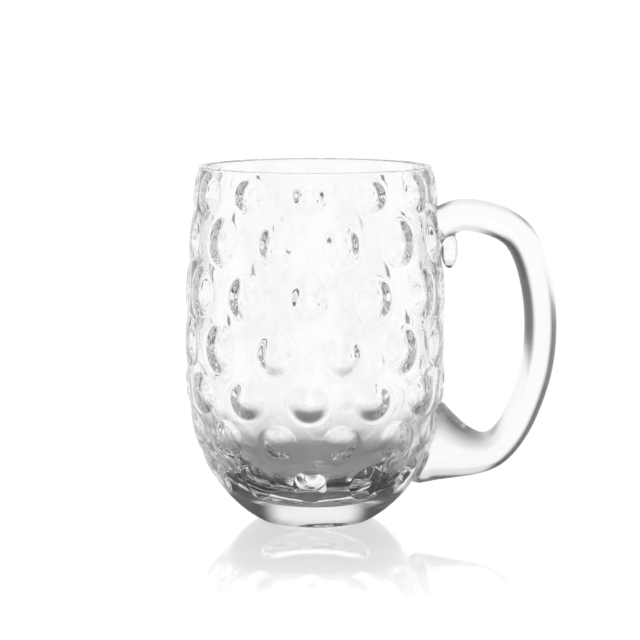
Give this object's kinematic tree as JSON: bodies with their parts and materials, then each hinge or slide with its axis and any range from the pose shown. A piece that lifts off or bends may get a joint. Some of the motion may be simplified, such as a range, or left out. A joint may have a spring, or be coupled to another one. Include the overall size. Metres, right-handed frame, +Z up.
{
  "type": "beer mug",
  "caption": "Barrel-shaped clear glass mug with oval hobnails in staggered rows, a thick base and an applied loop handle, for holding a drink.",
  "frame": {"origin": "centre of the flat base, on the bowl's axis, at table height", "axes": "+Z up along the bowl's axis, +X from the axis towards the handle, +Y across the handle's plane"},
  "size_m": [0.1355, 0.0948, 0.13],
  "materials": {
    "bowl_glass": "fire-polished",
    "handle_glass": "fire-polished"
  },
  "bodies": {
    "root": {"bowl": "bowl_glass", "handle": "handle_glass"}
  },
  "joints": []
}
